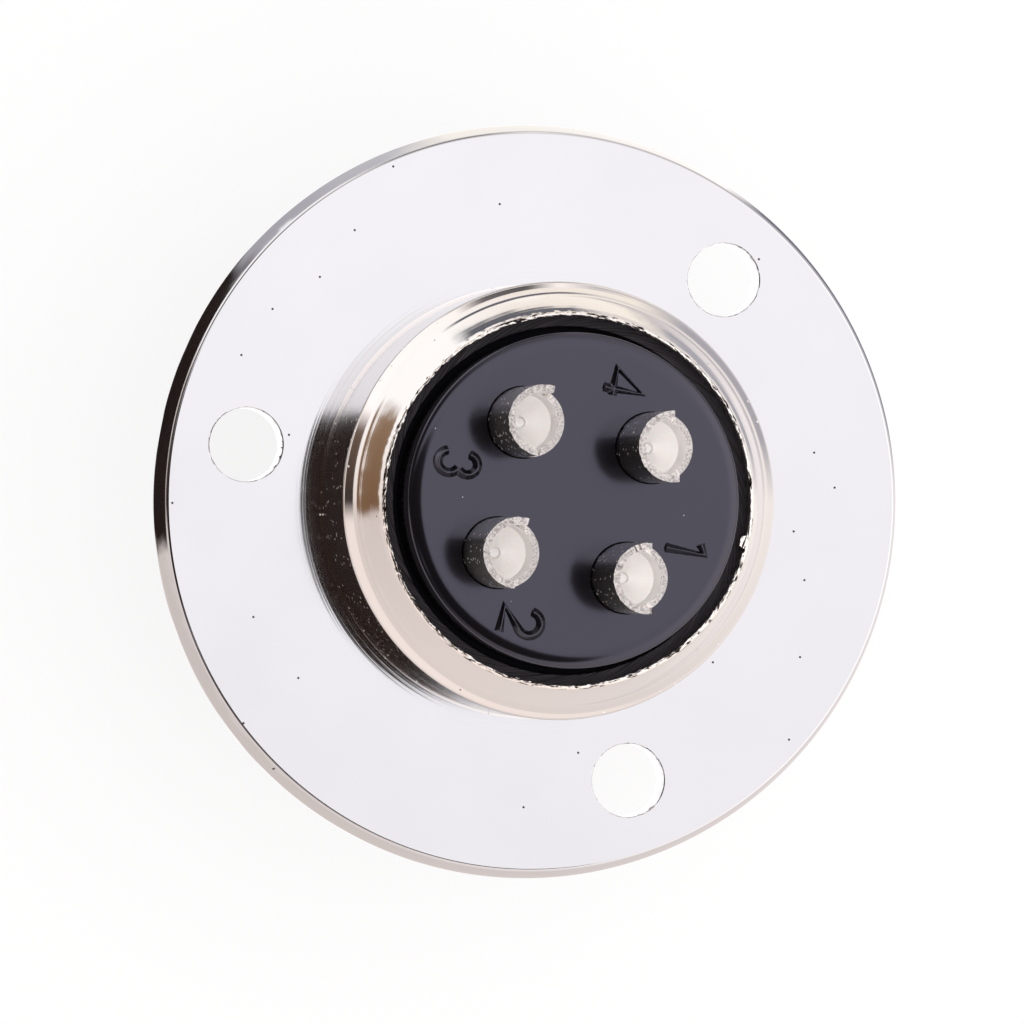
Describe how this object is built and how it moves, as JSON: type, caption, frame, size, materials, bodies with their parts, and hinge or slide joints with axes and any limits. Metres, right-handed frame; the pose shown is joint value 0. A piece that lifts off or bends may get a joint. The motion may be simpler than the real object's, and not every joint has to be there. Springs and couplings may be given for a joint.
{
  "type": "circular panel connector",
  "caption": "Round flanged panel receptacle of a circular aviation connector: threaded barrel, crimped collar, black insulator and male contacts with solder cups.",
  "frame": {"origin": "centre of the three-hole screw circle on the flange's rear face, which is the connector's axis", "axes": "+Z along the axis towards the solder side; +X passes through contact 4 and +Y through contact 3"},
  "size_m": [0.032, 0.032, 0.0258],
  "materials": {
    "plated_shell": "bright nickel plate on turned brass",
    "plated_flange": "bright nickel plate on stamped steel",
    "black_fibre": "dull punched fibre with fine scratches",
    "black_plastic": "smooth moulded thermoset, slightly glossy",
    "plated_contact": "silver plate on turned brass, rough on the cut edges"
  },
  "bodies": {
    "root": {"shell": "plated_shell", "flange_plate": "plated_flange", "clamp_ring": "black_fibre", "insulator": "black_plastic", "contact_4": "plated_contact", "contact_3": "plated_contact", "contact_2": "plated_contact", "contact_1": "plated_contact"}
  },
  "joints": []
}
